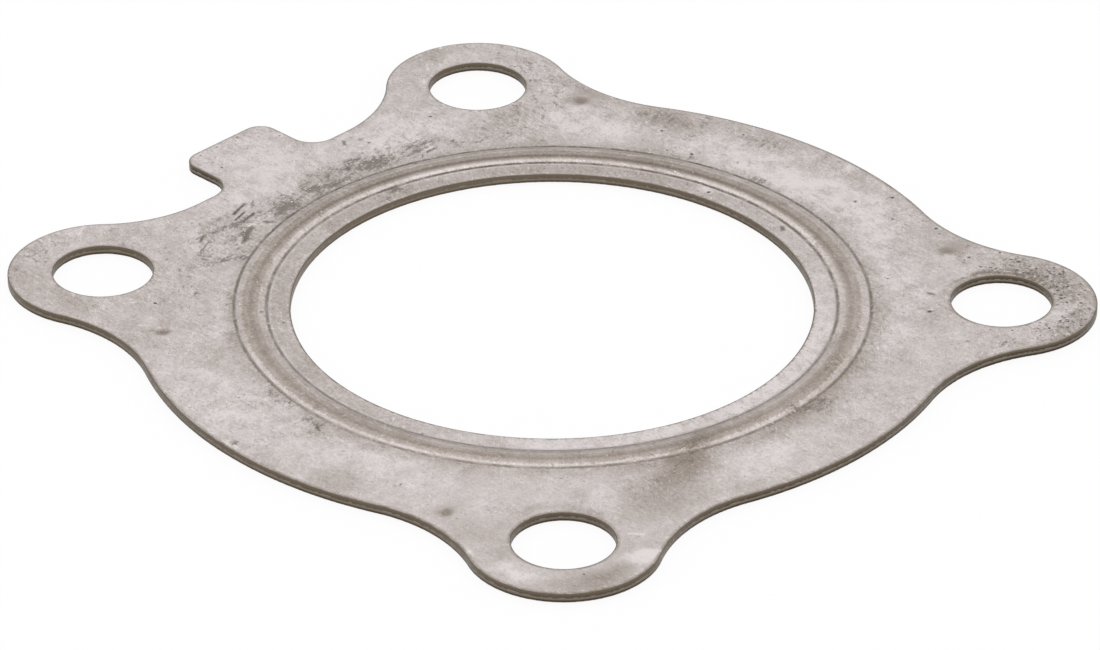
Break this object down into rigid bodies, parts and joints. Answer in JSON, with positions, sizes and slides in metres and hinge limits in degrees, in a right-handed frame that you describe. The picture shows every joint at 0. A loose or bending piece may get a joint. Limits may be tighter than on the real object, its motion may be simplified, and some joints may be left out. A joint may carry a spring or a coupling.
{
  "type": "turbocharger gasket",
  "caption": "Flat layered steel gasket for a turbocharger flange: large round gas port, raised sealing bead round it, bolt ears and a short square tab.",
  "frame": {"origin": "centre of the gas port, on the plane where the two sheets meet", "axes": "+Z to the upper face, +Y to the tab along the line of symmetry, +X to the right when the tab points away"},
  "size_m": [0.0876, 0.0932, 0.0016],
  "materials": {
    "upper_steel": "worn rolled stainless sheet",
    "lower_steel": "worn rolled stainless sheet"
  },
  "bodies": {
    "root": {"upper_sheet": "upper_steel", "lower_sheet": "lower_steel"}
  },
  "joints": []
}
